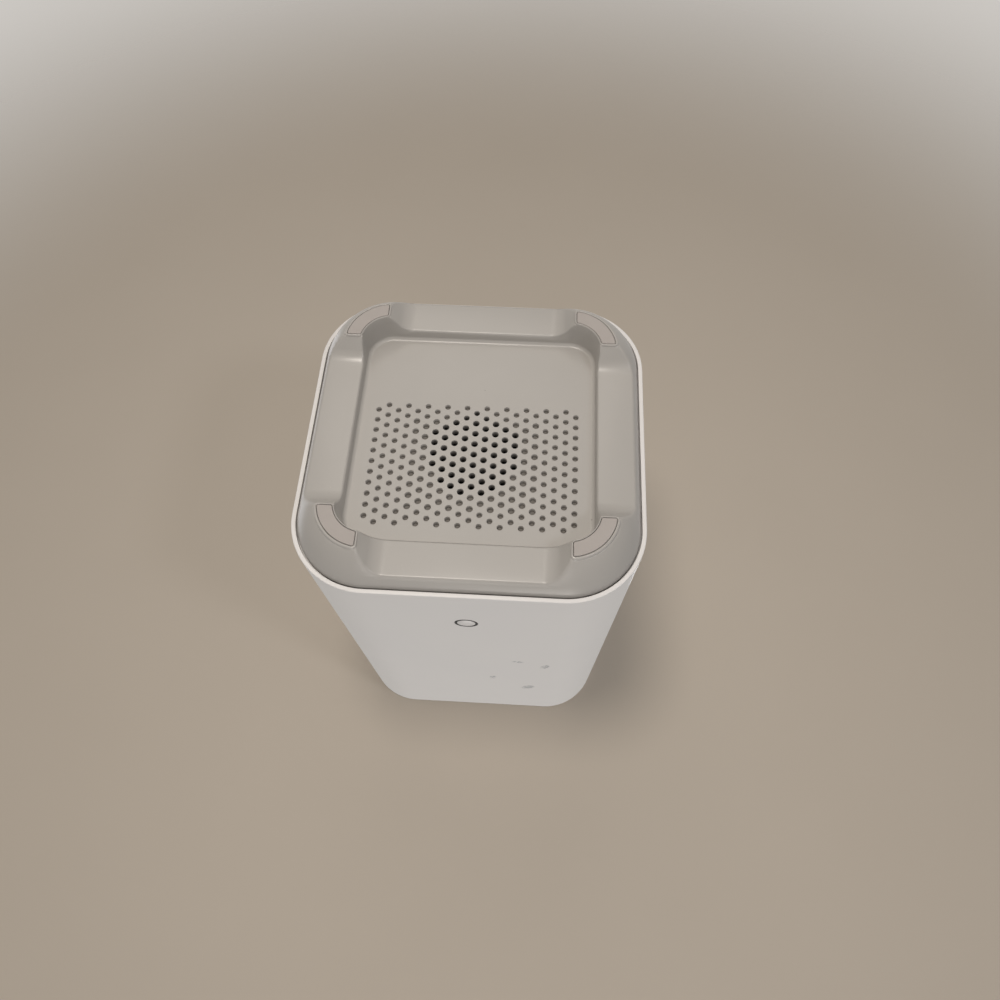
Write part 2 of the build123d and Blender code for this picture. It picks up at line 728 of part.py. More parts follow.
with BuildPart() as radio_shields:
    shield_length, shield_width, shield_height = radio_shield_size
    for height, inset in ((shield_height, 0), (shield_height - shield_wall, shield_wall)):
        with BuildSketch(Plane.XY.offset(board_top)):
            with Locations((-radio_shield_x, radio_shield_y), (radio_shield_x, radio_shield_y)):
                Rectangle(shield_length - 2 * inset, shield_width - 2 * inset)
        extrude(amount=height, mode=Mode.SUBTRACT if inset else Mode.ADD)
finish(radio_shields, "radio_shields")

# Power jack: a moulded block with a round nose through the wall, and its centre pin
with BuildPart() as power_jack:
    with BuildSketch(on_board) as jack_outline:
        with Locations((power_jack_x, connector_front_y - power_jack_size[1] / 2)):
            Rectangle(power_jack_size[0], power_jack_size[1])
        fillet(jack_outline.vertices(), radius=power_jack_corner_radius)
    extrude(amount=power_jack_size[2])
    with BuildSketch(facing_rear(connector_front_y)):
        with Locations((-power_jack_x, power_jack_height)):
            Circle(power_nose_radius)
    extrude(amount=nose_y - connector_front_y)
    with BuildSketch(facing_rear(nose_y)):
        with Locations((-power_jack_x, power_jack_height)):
            Circle(power_bore_radius)
    extrude(amount=-power_bore_depth, mode=Mode.SUBTRACT)
finish(power_jack, "power_jack")

with BuildPart() as power_jack_pin:
    with BuildSketch(facing_rear(nose_y - power_bore_depth)):
        with Locations((-power_jack_x, power_jack_height)):
            Circle(power_pin_radius)
    extrude(amount=power_pin_length)
    chamfer(power_jack_pin.edges().group_by(Axis.Y)[-1], length=power_pin_radius / 3)
finish(power_jack_pin, "power_jack_pin")

# Network jack: a block with a stepped mouth, and its row of contacts on the mouth's floor
with BuildPart() as ethernet_jack:
    with BuildSketch(facing_rear(nose_y)):
        with Locations((-ethernet_x, ethernet_height)):
            Rectangle(ethernet_size[0], ethernet_size[2])
    extrude(amount=-ethernet_size[1])
    with BuildSketch(facing_rear(nose_y)):
        with Locations((-ethernet_x, board_top + ethernet_sill)):
            Rectangle(ethernet_mouth[0], ethernet_mouth[1], align=(Align.CENTER, Align.MIN))
            Rectangle(ethernet_latch[0], ethernet_mouth[1] + ethernet_latch[1], align=(Align.CENTER, Align.MIN))
    extrude(amount=-ethernet_mouth_depth, mode=Mode.SUBTRACT)
finish(ethernet_jack, "ethernet_jack")

with BuildPart() as ethernet_contacts:
    with BuildSketch(facing_rear(nose_y - ethernet_mouth_depth)):
        with Locations((-ethernet_x, board_top + ethernet_sill + contact_height / 2)):
            with GridLocations(contact_pitch, 0, contact_count, 1):
                Rectangle(contact_width, contact_height)
    extrude(amount=contact_length)
finish(ethernet_contacts, "ethernet_contacts")

# USB socket: a folded metal shell round a moulded tongue
with BuildPart() as usb_socket:
    with BuildSketch(facing_rear(nose_y)):
        with Locations((-usb_x, usb_height)):
            Rectangle(usb_size[0], usb_size[2])
    extrude(amount=-usb_size[1])
    with BuildSketch(facing_rear(nose_y)):
        with Locations((-usb_x, usb_height)):
            Rectangle(usb_size[0] - 2 * usb_wall, usb_size[2] - 2 * usb_wall)
    extrude(amount=usb_wall - usb_size[1], mode=Mode.SUBTRACT)
finish(usb_socket, "usb_socket")

with BuildPart() as usb_tongue:
    usb_fit = 2 * (usb_wall + fastener_clearance)
    with BuildSketch(facing_rear(nose_y - usb_size[1] + usb_wall)):
        with Locations((-usb_x, usb_height)):
            Rectangle(usb_size[0] - usb_fit, usb_size[2] - usb_fit)
    extrude(amount=usb_block_depth)
    with BuildSketch(facing_rear(nose_y - usb_size[1] + usb_wall + usb_block_depth)):
        with Locations((-usb_x, usb_height + usb_tongue_rise)):
            Rectangle(usb_tongue_size[0], usb_tongue_size[2])
    extrude(amount=usb_tongue_size[1])
finish(usb_tongue, "usb_tongue")

# Sync button: a round cap with a flange that keeps it behind the wall
with BuildPart() as sync_button:
    with BuildSketch(facing_rear(button_seat_y)):
        with Locations((-button_x, button_height)):
            Circle(button_radius)
    extrude(amount=wall_outside(button_height) - button_recess - button_seat_y)
    chamfer(sync_button.edges().group_by(Axis.Y)[-1], length=button_edge_chamfer)
    with BuildSketch(facing_rear(button_seat_y)):
        with Locations((-button_x, button_height)):
            Circle(button_flange_radius)
    extrude(amount=-button_flange_thickness)
finish(sync_button, "sync_button")

# Switches on the board's rear edge, each a body with a bored front and a plunger in it
for name, x, height, width, depth, body_height, radius, reach, travel in (
    ("sync_switch", button_x, button_height, switch_width, switch_depth, switch_height, plunger_radius,
     plunger_reach, button_travel),
    ("reset_switch", reset_x, reset_height, reset_switch_width, reset_switch_depth, reset_switch_height,
     reset_plunger_radius, reset_plunger_reach, reset_travel),
):
    with BuildPart() as switch_body:
        with Locations((x, board_rear_y, board_top)):
            Box(width, depth, body_height, align=(Align.CENTER, Align.MAX, Align.MIN))
        with BuildSketch(facing_rear(board_rear_y)):
            with Locations((-x, height)):
                Circle(radius + plunger_clearance)
        extrude(amount=-(plunger_depth + travel + sliding_clearance), mode=Mode.SUBTRACT)
    finish(switch_body, name)
    with BuildPart() as plunger:
        with BuildSketch(facing_rear(board_rear_y + reach)):
            with Locations((-x, height)):
                Circle(radius)
        extrude(amount=-(plunger_depth + reach))
    finish(plunger, f"{name}_plunger")

# Status ring: a light guide with a flange behind the front wall, and the plug inside it
with BuildPart() as status_ring:
    for radius, length in ((ring_outer_radius, ring_face_y), (ring_flange_radius, ring_seat_y)):
        with BuildSketch(facing_front(length)):
            with Locations((0, ring_height)):
                Circle(radius)
        extrude(amount=ring_seat_y - ring_flange_thickness - length)
    with BuildSketch(facing_front(ring_face_y)):
        with Locations((0, ring_height)):
            Circle(ring_inner_radius)
    extrude(amount=-(housing_wall + overrun), mode=Mode.SUBTRACT)
finish(status_ring, "status_ring")

with BuildPart() as status_ring_centre:
    with BuildSketch(facing_front(ring_face_y)):
        with Locations((0, ring_height)):
            Circle(ring_inner_radius - fastener_clearance)
    extrude(amount=ring_seat_y - ring_flange_thickness - ring_face_y)
finish(status_ring_centre, "status_ring_centre")

# Light board against the main board's front edge, and its lights behind the ring
with BuildPart() as status_light_board:
    with BuildSketch(facing_front(light_board_face_y)) as light_outline:
        with Locations((0, ring_height)):
            Rectangle(light_board_width, light_board_height)
        fillet(light_outline.vertices(), radius=light_board_corner_radius)
    extrude(amount=-light_board_thickness)
finish(status_light_board, "status_light_board")

with BuildPart() as status_leds:
    with BuildSketch(facing_front(light_board_face_y)):
        with Locations((0, ring_height)):
            with PolarLocations((ring_inner_radius + ring_outer_radius) / 2, light_count, rotate=False):
                Rectangle(light_size[0], light_size[2])
    extrude(amount=light_size[1])
finish(status_leds, "status_leds")

# Antenna tower: a plate on four pillars over the board, with two crossed walls up into the housing
with BuildPart() as antenna_tower:
    plate_length = 2 * (board_post_x + tower_plate_margin)
    plate_width = 2 * (board_post_y + tower_plate_margin)
    with BuildSketch(Plane.XY.offset(tower_plate_height)):
        RectangleRounded(plate_length, plate_width, tower_plate_margin)
    extrude(amount=tower_plate_thickness)
    with BuildSketch(Plane.XY.offset(board_top)):
        with GridLocations(2 * board_post_x, 2 * board_post_y, 2, 2):
            Circle(board_post_radius)
    extrude(amount=tower_plate_height - board_top)
    tower_bottom = tower_plate_height + tower_plate_thickness
    for plane, length in ((Plane.XZ, tower_length), (Plane.YZ, tower_width)):
        window_width = (length - tower_wall) / 2 - 2 * tower_window_margin
        window_pitch = (tower_top - tower_bottom) / tower_window_rows
        with BuildSketch(plane) as wall:
            with Locations((0, (tower_bottom + tower_top) / 2)):
                Rectangle(length, tower_top - tower_bottom)
                fillet(wall.vertices().group_by(Axis.Y)[-1], radius=tower_window_margin)
                with GridLocations((length + tower_wall) / 2, window_pitch, 2, tower_window_rows):
                    Rectangle(window_width, window_pitch - 2 * tower_window_margin, mode=Mode.SUBTRACT)
        extrude(amount=tower_wall / 2, both=True)
    with BuildSketch(Plane.XY.offset(board_top)):
        with GridLocations(2 * board_post_x, 2 * board_post_y, 2, 2):
            Circle(frame_screw_radius + seat_clearance)
    extrude(amount=tower_bottom - board_top, mode=Mode.SUBTRACT)
finish(antenna_tower, "antenna_tower")

with BuildPart() as frame_screws:
    with BuildSketch(Plane.XY.offset(tower_bottom)):
        with GridLocations(2 * board_post_x, 2 * board_post_y, 2, 2):
            RegularPolygon(frame_screw_radius, screw_sides)
    extrude(amount=-frame_screw_length)
    with BuildSketch(Plane.XY.offset(tower_bottom)):
        with GridLocations(2 * board_post_x, 2 * board_post_y, 2, 2):
            RegularPolygon(frame_screw_head_radius, screw_sides)
    extrude(amount=frame_screw_head_height)
finish(frame_screws, "frame_screws")

# Antennas: two stamped plates on the wide wall's ends and a long one on the narrow wall's front
for name, side in (("left", -1), ("right", 1)):
    thickness, width, height = wifi_antenna_size
    with BuildPart() as wifi_antenna:
        with BuildSketch(Plane.YZ.offset(side * tower_length / 2)):
            with Locations((0, wifi_antenna_height + height / 2)):
                Rectangle(width, height)
            for row in range(antenna_slots):
                slot_height = wifi_antenna_height + height * (row + 1) / (antenna_slots + 1)
                with Locations((width / 2 * (-1) ** row, slot_height)):
                    Rectangle(2 * width * antenna_slot_share, antenna_slot_width, mode=Mode.SUBTRACT)
        extrude(amount=side * thickness)
    finish(wifi_antenna, f"wifi_antenna_{name}")

with BuildPart() as long_antenna:
    with BuildSketch(Plane.XZ.offset(tower_width / 2)):
        with Locations((0, long_antenna_height)):
            Rectangle(long_antenna_width, long_antenna_length, align=(Align.CENTER, Align.MIN))
    extrude(amount=long_antenna_thickness)
finish(long_antenna, "long_antenna")
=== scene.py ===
from math import copysign, cos, pi, radians, sin, tan

import bmesh
import bpy
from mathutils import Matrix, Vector
from mathutils.geometry import delaunay_2d_cdt


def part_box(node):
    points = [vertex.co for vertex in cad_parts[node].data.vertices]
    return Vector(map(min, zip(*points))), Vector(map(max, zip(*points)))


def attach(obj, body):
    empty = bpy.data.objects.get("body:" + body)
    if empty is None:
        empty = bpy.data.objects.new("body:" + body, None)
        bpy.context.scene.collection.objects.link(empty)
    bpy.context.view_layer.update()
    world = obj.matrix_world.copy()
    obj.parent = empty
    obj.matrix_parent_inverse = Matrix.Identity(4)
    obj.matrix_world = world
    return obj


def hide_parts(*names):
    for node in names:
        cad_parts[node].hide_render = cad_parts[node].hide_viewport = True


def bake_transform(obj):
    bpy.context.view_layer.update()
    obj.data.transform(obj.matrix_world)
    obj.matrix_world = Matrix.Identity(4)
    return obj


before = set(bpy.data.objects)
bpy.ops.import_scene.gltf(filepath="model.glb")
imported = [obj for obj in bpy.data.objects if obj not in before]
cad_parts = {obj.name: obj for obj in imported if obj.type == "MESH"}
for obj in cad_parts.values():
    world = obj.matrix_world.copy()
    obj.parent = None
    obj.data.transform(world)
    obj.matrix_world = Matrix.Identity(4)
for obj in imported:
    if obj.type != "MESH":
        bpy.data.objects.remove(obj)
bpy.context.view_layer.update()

# Base station of a set of wireless security cameras: what it looks like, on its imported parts.
# Metres. The feet stand on Z = 0, the status ring faces -Y and the connectors +Y.
mm = 0.001
level = 0.01 * mm  # heights this close count as one
weld = 0.001 * mm  # corners this close become one
quarter_turn = radians(90.0)

# Housing
housing_low, housing_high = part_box("outer_housing")
rim_half = housing_high.x
rim_height = housing_low.z
top_height = housing_high.z
rim_corner_radius = 26.0 * mm
corner_centre = rim_half - rim_corner_radius
corner_steps = 24
housing_draft = tan(radians(1.0))
housing_wall = 2.4 * mm
lip_wall = 1.45 * mm
lip_depth = 2.0 * mm
top_edge_radius = 4.0 * mm
top_edge_steps = 12
rim_outer_edge = 0.3 * mm
rim_inner_edge = 0.25 * mm
rim_edge_steps = 4
rear_flat = corner_steps  # number of the side, in a ring, that is the rear wall's flat
front_flat = 3 * (corner_steps + 1) - 1
rear_side = 1  # the way that a wall faces along Y
front_side = -1

# Openings in the housing
band_foot = 30.0 * mm  # height from which the flats are pierced
rear_band_top = 52.0 * mm  # height up to which the rear one is
front_band_top = 46.0 * mm
rear_mouth_edge = 0.3 * mm  # rounding round each opening in the rear wall
front_mouth_edge = 0.08 * mm
mouth_edge_steps = 3
mouth_corner_steps = 10
nose_gap = 0.3 * mm  # round a connector or button in its opening
power_nose_radius = 4.0 * mm
socket_corner = 0.6 * mm
button_flange = 1.1 * mm  # of the button past the part that shows
pinhole_radius = 0.8 * mm

# Status ring
ring_outer_radius = 3.96 * mm
ring_inner_radius = 3.14 * mm
ring_flange_radius = 5.4 * mm
ring_flange_thickness = 1.0 * mm
ring_edge = 0.06 * mm
ring_gap = 0.05 * mm

# Pocket of the base
pocket_floor = 11.3 * mm
deck_top = 13.6 * mm
pocket_reach = 39.4 * mm  # the flat floor lies within this distance of the middle
pocket_half = 40.3 * mm  # to the wall's line at the floor
pocket_draft = tan(radians(3.7))
mouth_bevel = 0.35 * mm
mouth_growth = 0.4 * mm  # that the bevel along the valleys takes from each side, to look round
bevel_foot_near = 0.03 * mm  # corners this near the wall's line are the bevel's foot
bevel_top_near = 0.06 * mm
valley_floor = 6.9 * mm
foot_side = (1.2 * mm, 3.0 * mm)  # heights between which the growth starts

# Grille
columns = 21
rows = 12
pitch_x = 3.383 * mm
pitch_y = 4.056 * mm
grille_centre_y = -10.6 * mm
large_hole_radius = 1.05 * mm
small_hole_radius = 0.9 * mm
large_columns = 6
large_rows = 4
speaker_centre_y = -5.5 * mm
open_reach = 16.0 * mm
hole_steps = 24
solid_hole_sides = 6
hole_edge = 0.12 * mm  # of a hole's mouth, across
hole_edge_rise = 0.19 * mm
blind_depth = 1.8 * mm
blind_edge = 0.25 * mm

# Foot pads
pad_top = 1.78 * mm
pad_fit = 0.03 * mm  # that the rubber spreads in its recess
pad_edge = 0.35 * mm
pad_edge_steps = 5
tightest_mitre = 0.5  # cosine past which a corner of the pad's outline isn't drawn out further

# Bead round a foot pad
bead_wide = 1.3 * mm  # on its outer side
bead_end = 1.0 * mm  # at its straight ends
bead_narrow = 0.72 * mm  # on its inner side
bead_start = 0.16 * mm
bead_crest = 0.12 * mm  # height of the bead's crest above the table
bead_foot = 1.4 * mm
bead_section = [  # share of the way across the bead, and height above the table
    (0.0, bead_foot),
    (0.0, 0.3 * mm),
    (0.05, 0.2 * mm),
    (0.14, 0.14 * mm),
    (0.26, bead_crest),
    (0.5, 0.18 * mm),
    (0.65, 0.27 * mm),
    (0.78, 0.45 * mm),
    (0.9, 0.75 * mm),
    (0.97, 1.05 * mm),
    (1.0, bead_foot),
]

# Speaker's surround and voice coil
surround_sectors = 24
cut_near = 0.1 * weld  # corners this near a cut lie on it
coil_wire = 0.15 * mm

# Connectors and the button: node, body that it rides on, and how wide its edges are rounded
rounded_parts = [
    ("power_jack", "root", 0.25 * mm),
    ("power_jack_pin", "root", 0.15 * mm),
    ("ethernet_jack", "root", 0.2 * mm),
    ("usb_socket", "root", 0.08 * mm),
    ("usb_tongue", "root", 0.12 * mm),
    ("sync_button", "sync_button", 0.15 * mm),
]
rounding_segments = 3
rounded_turn = radians(30.0)  # an edge that turns by more than this is rounded
same_plane = radians(1.0)  # faces that lean apart by less than this become one

# Shading
sharp_turn = radians(38.0)  # an edge that turns by more than this stays sharp
wide_turn = radians(50.0)  # the same, on pieces whose edges are rounded in few steps
large_face_weight = 90  # 50 is neutral, and more favours the large faces

# Scuffs on the housing's front face: middle across and up, half length, half width, lean in degrees
scuffs = [
    (-17.9 * mm, 86.8 * mm, 2.6 * mm, 1.4 * mm, 0.0),
    (-28.7 * mm, 92.5 * mm, 3.6 * mm, 1.8 * mm, 70.0),
    (-7.7 * mm, 114.7 * mm, 3.0 * mm, 1.6 * mm, 80.0),
    (-22.9 * mm, 130.4 * mm, 4.4 * mm, 2.8 * mm, 60.0),
]

# Colours: red, green and blue as a screen shows them, 0 to 255. Shades are the two that a cloud blends.
housing_shades = ((228, 225, 224), (234, 231, 228))
housing_scuff = (132, 134, 140)
housing_dust = (160, 150, 138)
base_shades = ((172, 168, 163), (181, 177, 172))
base_sparkle = (174, 170, 164)
base_dust = (216, 212, 205)
base_lint = (104, 98, 92)
# Painted shade, laid on all of the base that lies deeper than the pocket's floor
painted_hole_shade = (84, 78, 72)
pad_shades = ((170, 163, 158), (179, 172, 167))
pad_dust = (212, 207, 202)
light_guide_shades = ((30, 29, 29), (38, 37, 37))
button_shades = ((206, 203, 200), (214, 211, 208))
foam_shades = ((30, 30, 31), (62, 62, 63))
paper_shades = ((30, 30, 32), (58, 58, 60))
copper_shades = ((150, 84, 44), (222, 140, 84))
lacquer_shades = ((22, 84, 50), (44, 122, 74))
silicone_shades = ((150, 162, 182), (172, 184, 200))
led_shades = ((226, 214, 150), (244, 236, 190))
table_shades = ((200, 189, 175), (203, 192, 178))
backdrop_colour = (205, 201, 196)
world_glow = (0.243, 0.241, 0.239, 1.0)  # as linear values

# Tables: name, height, half width, distances between which it fades out, and whether it faces down
tables = [
    ("table_under_feet", 0.0, 3.0, (1.2, 2.6), False),
    ("table_under_top", top_height, 0.75, (0.32, 0.7), True),
]

# Lamps: name, place, place that it is aimed at, width, watts and colour
station_middle = (0.0, 0.0, top_height / 2)
lamps = [
    ("ceiling_below", (0.06, -0.04, -0.62), station_middle, 0.16, 1.76, (255, 247, 237)),
    ("room_below", (0.06, 0.32, -0.58), station_middle, 0.4, 0.6, (255, 247, 236)),
    ("window_front", (0.0, -0.75, -0.14), station_middle, 0.4, 0.55, (255, 249, 243)),
    ("window_below", (-0.36, -0.25, -0.52), (-0.04, -0.04, 0.0), 0.1, 0.5, (245, 248, 255)),
    ("key_above", (-0.1, -0.8, 0.5), station_middle, 0.4, 1.9, (255, 250, 243)),
    ("fill_above", (0.6, 0.35, 0.5), station_middle, 0.6, 0.8, (247, 249, 255)),
    ("back_above", (-0.35, 0.45, 0.8), station_middle, 0.5, 2.2, (251, 250, 250)),
]

# Camera, where the photograph was taken from: under the feet, as the station stands upturned
camera_place = (-17.987 * mm, -136.940 * mm, -216.637 * mm)
camera_turn = (-153.39606, -0.47905, 176.79938)  # degrees
film_width = 36.0  # in millimetres, as the camera takes it
focal_length = 28.330
nearest_seen = 10 * mm


class Signal:
    """A value that nodes work out. Sums, differences and products of signals add their Math nodes."""

    def __init__(self, nodes, socket):
        self.nodes = nodes
        self.socket = socket

    def math(self, operation, first, second):
        return self.nodes.add("ShaderNodeMath", {"operation": operation}, {0: first, 1: second})

    def __add__(self, other):
        return self.math("ADD", self, other)

    def __sub__(self, other):
        return self.math("SUBTRACT", self, other)

    def __rsub__(self, other):
        return self.math("SUBTRACT", other, self)

    def __mul__(self, other):
        return self.math("MULTIPLY", self, other)

    __radd__ = __add__
    __rmul__ = __mul__

    def between(self, start, end):
        """0 before start and 1 after end, smooth between them. Start may be the larger."""
        if start > end:
            return 1.0 - self.between(end, start)
        settings = {"interpolation_type": "SMOOTHSTEP", "clamp": True}
        inputs = {"Value": self, "From Min": start, "From Max": end}
        return self.nodes.add("ShaderNodeMapRange", settings, inputs)


class Nodes:
    """The nodes of a material or of the world."""

    def __init__(self, tree):
        self.tree = tree

    def add(self, kind, settings, inputs, output=0):
        """A node of any kind: its settings first, then the values or links of its sockets."""
        node = self.tree.nodes.new(kind)
        for key, value in settings.items():
            setattr(node, key, value)
        self.feed(node, inputs)
        return Signal(self, node.outputs[output])

    def feed(self, node, inputs):
        """Links a node's sockets to signals, and sets those that are given plain values."""
        for key, value in inputs.items():
            if isinstance(value, Signal):
                self.tree.links.new(value.socket, node.inputs[key])
            else:
                node.inputs[key].default_value = value

    def blend(self, share, first, second):
        """A colour that goes from the first to the second as the share goes from 0 to 1."""
        # Of the Mix node, inputs 6 and 7 and output 2 are the ones for colours
        return self.add("ShaderNodeMix", {"data_type": "RGBA"}, {0: share, 6: first, 7: second}, 2)


class Finish(Nodes):
    """A material, laid out around one Principled shader, in the piece's own metres."""

    def __init__(self, name):
        self.material = bpy.data.materials.new(name)
        self.material.use_nodes = True
        super().__init__(self.material.node_tree)
        self.shader = self.tree.nodes["Principled BSDF"]
        self.place = self.add("ShaderNodeTexCoord", {}, {}, "Object")

    def axes(self):
        """The place's X, Y and Z."""
        return [self.add("ShaderNodeSeparateXYZ", {}, {0: self.place}, axis) for axis in range(3)]

    def stretched(self, factors):
        """The place, with each axis multiplied by its own factor."""
        return self.add("ShaderNodeVectorMath", {"operation": "MULTIPLY"}, {0: self.place, 1: factors})

    def noise(self, size, detail=2.0, place=None):
        """Soft cloudy values around one half, with patches about that size across."""
        inputs = {"Vector": place or self.place, "Scale": 1 / size, "Detail": detail}
        return self.add("ShaderNodeTexNoise", {}, inputs)

    def cells(self, size, output, settings=None):
        """What a lattice of uneven cells about that size gives."""
        inputs = {"Vector": self.place, "Scale": 1 / size}
        return self.add("ShaderNodeTexVoronoi", settings or {}, inputs, output)

    def specks(self, spacing, radius, share):
        """1 on small round specks, in a share of the cells of a lattice with that spacing."""
        chance = self.add("ShaderNodeSeparateColor", {}, {0: self.cells(spacing, "Color")})
        dot = self.cells(spacing, "Distance").between(radius / spacing, 0.4 * radius / spacing)
        return dot * chance.between(1 - share, 1 - 0.9 * share)

    def shades(self, share, dark, light):
        """A colour between two shades."""
        return self.blend(share, tone(*dark), tone(*light))

    def over(self, colour, laid_on, share):
        """A colour with another laid on it."""
        return self.blend(share, colour, tone(*laid_on))

    def bump(self, height, depth):
        return self.add("ShaderNodeBump", {}, {"Height": height, "Distance": depth})

    def set(self, values):
        """Feeds the shader, and returns the material."""
        self.feed(self.shader, values)
        return self.material


def tone(red, green, blue):
    """A colour as a screen shows it, 0 to 255, as the linear values that a shader takes."""
    shares = [value / 255 for value in (red, green, blue)]
    return [s / 12.92 if s <= 0.04045 else ((s + 0.055) / 1.055) ** 2.4 for s in shares] + [1.0]


def scuff_mask(finish):
    """Up to 1 on the worn smudges of the front face, which are patchy, and 0 elsewhere."""
    across, depth, up = finish.axes()
    patchy = finish.noise(size=0.9 * mm, detail=3.0).between(0.38, 0.62)
    smudges = 0.0
    for x, z, length, width, lean in scuffs:
        cosine, sine = cos(radians(lean)), sin(radians(lean))
        along = ((across - x) * cosine + (up - z) * sine) * (1 / length)
        aside = ((up - z) * cosine - (across - x) * sine) * (1 / width)
        smudges = (along * along + aside * aside).between(1.0, 0.25) + smudges
    on_front = depth.between(-0.6 * rim_half, -0.8 * rim_half)
    return smudges * patchy * on_front


def housing_white():
    """Satin white moulding with faint smears, a little dust and the scuffs on its front."""
    finish = Finish("housing_white")
    cloud = finish.noise(size=38 * mm, detail=3.0)
    smear = finish.noise(size=9 * mm, detail=4.0, place=finish.stretched((1.0, 1.0, 0.35)))
    grain = finish.noise(size=0.35 * mm)
    dust = finish.specks(spacing=7 * mm, radius=0.22 * mm, share=0.25)
    scuffed = scuff_mask(finish)
    colour = finish.shades(cloud, *housing_shades)
    colour = finish.over(colour, housing_scuff, scuffed * 0.85)
    colour = finish.over(colour, housing_dust, dust * 0.45)
    roughness = 0.3 + cloud * 0.06 + smear * 0.1 + scuffed * 0.25
    bump = finish.bump(grain, depth=0.006 * mm)
    return finish.set({"Base Color": colour, "Roughness": roughness, "Normal": bump})


def base_grey():
    """Light grey moulding with a fine grain, dust and dark lint, and painted shade on all that lies deeper
    than the pocket's floor: down its holes and in the seam under the rim.
    """
    finish = Finish("base_grey")
    cloud = finish.noise(size=30 * mm, detail=3.0)
    sparkle = finish.noise(size=0.22 * mm)
    grain = finish.noise(size=0.4 * mm, detail=3.0)
    dust = finish.specks(spacing=5 * mm, radius=0.2 * mm, share=0.3)
    lint = finish.specks(spacing=13 * mm, radius=0.35 * mm, share=0.25)
    # Painted shade: the colour darkens on all that lies deeper than the pocket's floor, down the holes and
    # in the seam under the rim
    sunk = finish.axes()[2].between(pocket_floor + 0.3 * mm, pocket_floor + 1.4 * mm)
    colour = finish.shades(cloud, *base_shades)
    colour = finish.over(colour, base_sparkle, sparkle.between(0.35, 0.75) * 0.2)
    colour = finish.over(colour, base_dust, dust * 0.4)
    colour = finish.over(colour, base_lint, lint * 0.55)
    # painted shade down the holes and in the seam
    colour = finish.over(colour, painted_hole_shade, sunk * 0.7)
    roughness = 0.23 + cloud * 0.06 + grain * 0.08 + sunk * 0.4
    bump = finish.bump(grain, depth=0.012 * mm)
    return finish.set({"Base Color": colour, "Roughness": roughness, "Normal": bump})


def pad_rubber():
    """Matte pinkish grey rubber, which holds dust."""
    finish = Finish("pad_rubber")
    cloud = finish.noise(size=6 * mm, detail=3.0)
    grain = finish.noise(size=0.3 * mm, detail=3.0)
    dust = finish.specks(spacing=2.5 * mm, radius=0.16 * mm, share=0.4)
    colour = finish.over(finish.shades(cloud, *pad_shades), pad_dust, dust * 0.4)
    bump = finish.bump(grain, depth=0.02 * mm)
    return finish.set({"Base Color": colour, "Roughness": 0.62 + cloud * 0.12, "Normal": bump})


def smoked_light_guide():
    finish = Finish("smoked_light_guide")
    cloud = finish.noise(size=2 * mm)
    colour = finish.shades(cloud, *light_guide_shades)
    return finish.set({"Base Color": colour, "Roughness": 0.4 + cloud * 0.1, "Specular IOR Level": 0.15})


def button_white():
    finish = Finish("button_white")
    grain = finish.noise(size=0.3 * mm)
    colour = finish.shades(finish.noise(size=3 * mm), *button_shades)
    bump = finish.bump(grain, depth=0.008 * mm)
    return finish.set({"Base Color": colour, "Roughness": 0.35 + grain * 0.1, "Normal": bump})


def black_plastic(name, dark, light, roughness):
    """Moulded black plastic with a fine spark-eroded grain."""
    finish = Finish(name)
    grain = finish.noise(size=0.25 * mm, detail=3.0)
    colour = finish.shades(finish.noise(size=4 * mm), dark, light)
    bump = finish.bump(grain, depth=0.02 * mm)
    return finish.set({"Base Color": colour, "Roughness": roughness + grain * 0.15, "Normal": bump})


def drawn_metal(name, dull, bright, roughness, lay):
    """Sheet or bar metal with faint lines along the axis whose factor in lay is smallest."""
    finish = Finish(name)
    lines = finish.noise(size=0.3 * mm, detail=3.0, place=finish.stretched(lay))
    colour = finish.shades(finish.noise(size=5 * mm, detail=3.0), dull, bright)
    finish.set({"Base Color": colour, "Metallic": 1.0, "Roughness": roughness + lines * 0.2})
    return finish.set({"Normal": finish.bump(lines, depth=0.004 * mm)})


def foam():
    finish = Finish("gasket_foam")
    cells = finish.cells(size=0.35 * mm, output="Distance")
    colour = finish.shades(cells, *foam_shades)
    bump = finish.bump(cells, depth=0.1 * mm)
    return finish.set({"Base Color": colour, "Roughness": 0.95, "Normal": bump})


def paper():
    finish = Finish("cone_paper")
    fibres = finish.noise(size=0.5 * mm, detail=5.0)
    colour = finish.shades(fibres, *paper_shades)
    bump = finish.bump(fibres, depth=0.05 * mm)
    return finish.set({"Base Color": colour, "Roughness": 0.85, "Normal": bump})


def wound_copper():
    """Enamelled wire, one turn above the other."""
    finish = Finish("coil_copper")
    turns = finish.add("ShaderNodeMath", {"operation": "SINE"}, {0: finish.axes()[2] * (2 * pi / coil_wire)})
    colour = finish.shades(turns * 0.5 + 0.5, *copper_shades)
    finish.set({"Base Color": colour, "Metallic": 1.0, "Roughness": 0.35})
    return finish.set({"Normal": finish.bump(turns, depth=0.03 * mm)})


def laminate():
    """Circuit board: green lacquer over tracks, which show as a faint raised pattern."""
    finish = Finish("board_laminate")
    from_edge = finish.cells(size=4 * mm, output="Distance", settings={"feature": "DISTANCE_TO_EDGE"})
    track = from_edge.between(0.09, 0.05)
    colour = finish.shades(track, *lacquer_shades)
    bump = finish.bump(track, depth=0.03 * mm)
    return finish.set({"Base Color": colour, "Roughness": 0.32, "Normal": bump})


def silicone():
    finish = Finish("thermal_silicone")
    cloud = finish.noise(size=1.5 * mm, detail=3.0)
    colour = finish.shades(cloud, *silicone_shades)
    bump = finish.bump(cloud, depth=0.05 * mm)
    return finish.set({"Base Color": colour, "Roughness": 0.7 + cloud * 0.1, "Normal": bump})


def led_resin():
    finish = Finish("led_resin")
    cloud = finish.noise(size=0.6 * mm)
    return finish.set({"Base Color": finish.shades(cloud, *led_shades), "Roughness": 0.25 + cloud * 0.1})


